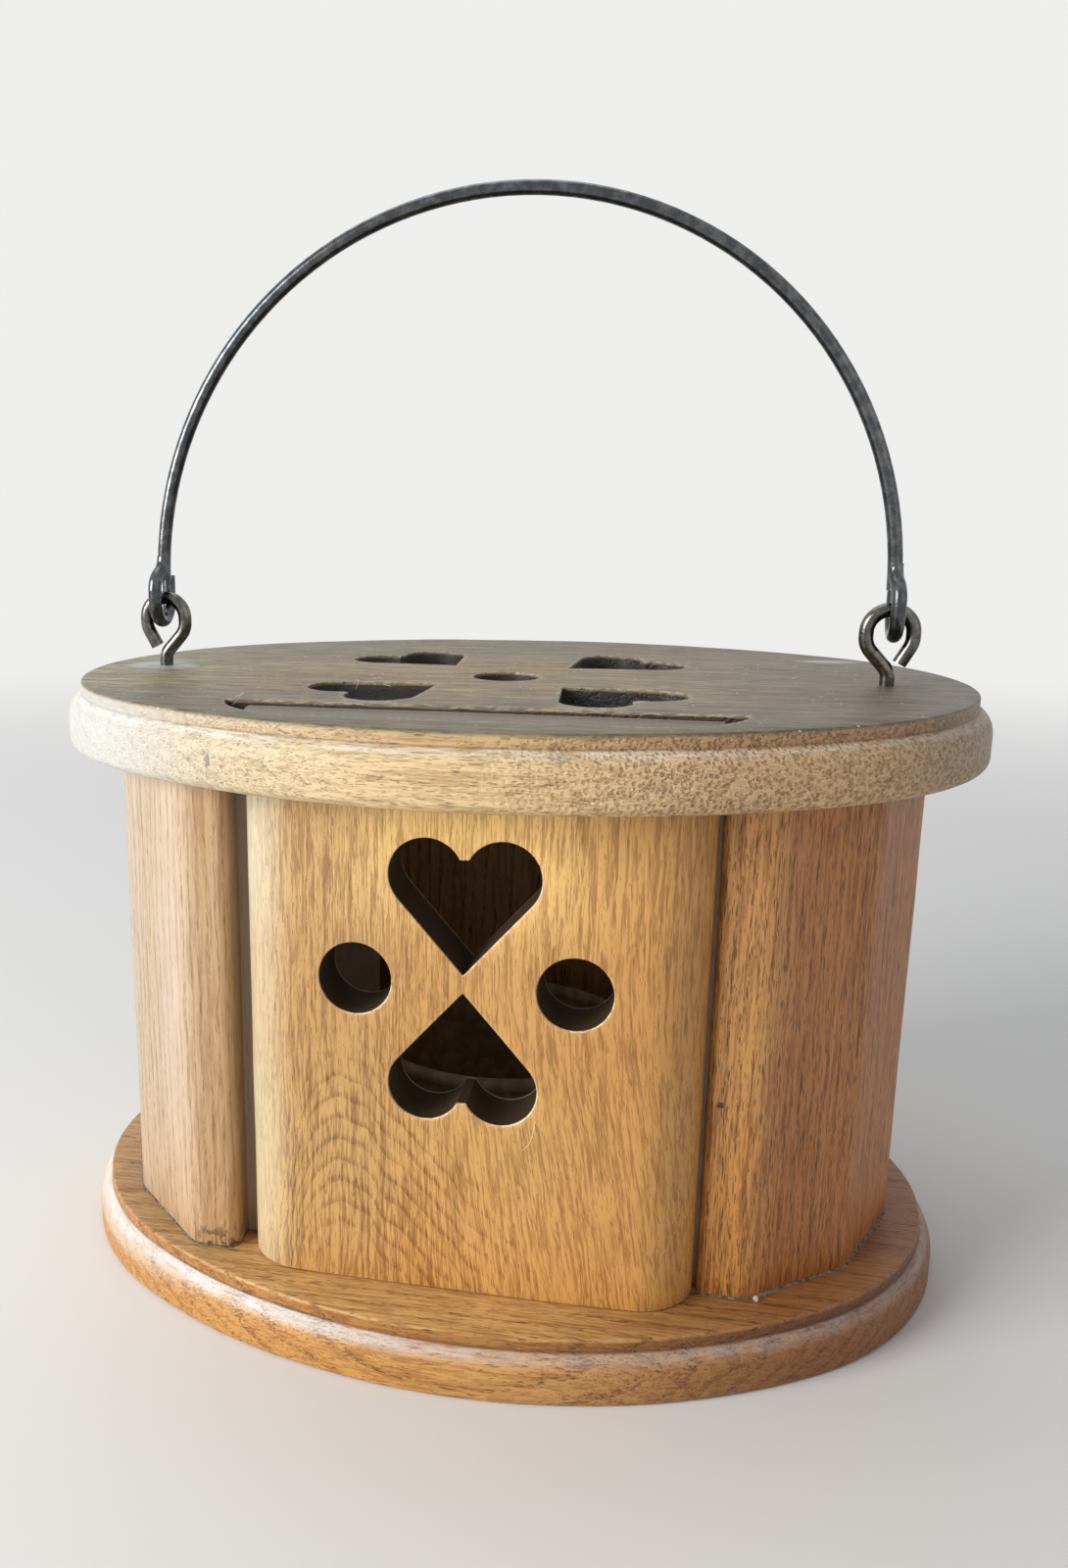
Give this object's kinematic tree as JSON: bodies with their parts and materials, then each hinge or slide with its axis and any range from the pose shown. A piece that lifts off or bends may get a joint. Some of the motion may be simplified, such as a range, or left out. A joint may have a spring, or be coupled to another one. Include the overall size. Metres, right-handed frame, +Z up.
{
  "type": "oval foot warmer",
  "caption": "Oval oak foot warmer with heart and round vents, a front panel that slides up through the lid, an ember pan and a swinging wire bail.",
  "frame": {"origin": "middle of the flat underside of the base board", "axes": "+Z up, the sliding panel faces -Y, the long axis of the oval is X"},
  "size_m": [0.2636, 0.2034, 0.3062],
  "materials": {
    "oak_base": "worn oiled oak, grain along the oval, dusty at the joints",
    "oak_lid": "weathered grey-brown top, pale honey rim",
    "oak_left_block": "worn oak, upright grain",
    "oak_right_block": "worn oak, upright grain, dark pores",
    "oak_back": "worn oak, upright grain",
    "oak_front": "honey oak, upright grain with arched figure",
    "eye_wire": "old bright wire with brown patches",
    "bail_wire": "dark grey steel wire, rubbed bright",
    "pan_iron": "sooty sheet iron",
    "rivet_iron": "sooty iron",
    "screw_iron": "rusty iron",
    "dowel_wood": "bare oak"
  },
  "bodies": {
    "body": {"base_board": "oak_base", "lid_board": "oak_lid", "left_side_block": "oak_left_block", "right_side_block": "oak_right_block", "back_panel": "oak_back", "left_eye_screw": "eye_wire", "right_eye_screw": "eye_wire", "ember_pan": "pan_iron", "ember_pan_handle": "pan_iron", "ember_pan_rivets": "rivet_iron", "base_screws": "screw_iron", "lid_dowels": "dowel_wood"},
    "sliding_panel": {"front_panel": "oak_front"},
    "bail": {"bail_handle": "bail_wire"}
  },
  "joints": [
    {"name": "panel_slide", "type": "slide", "parent": "body", "child": "sliding_panel", "axis": [0, 0, 1], "range_m": [0, 0.125]},
    {"name": "bail_swing", "type": "hinge", "parent": "body", "child": "bail", "pos_m": [-0.0018, 0.002, 0.1927], "axis": [1, 0, 0], "range_deg": [-102, 101.5]}
  ]
}
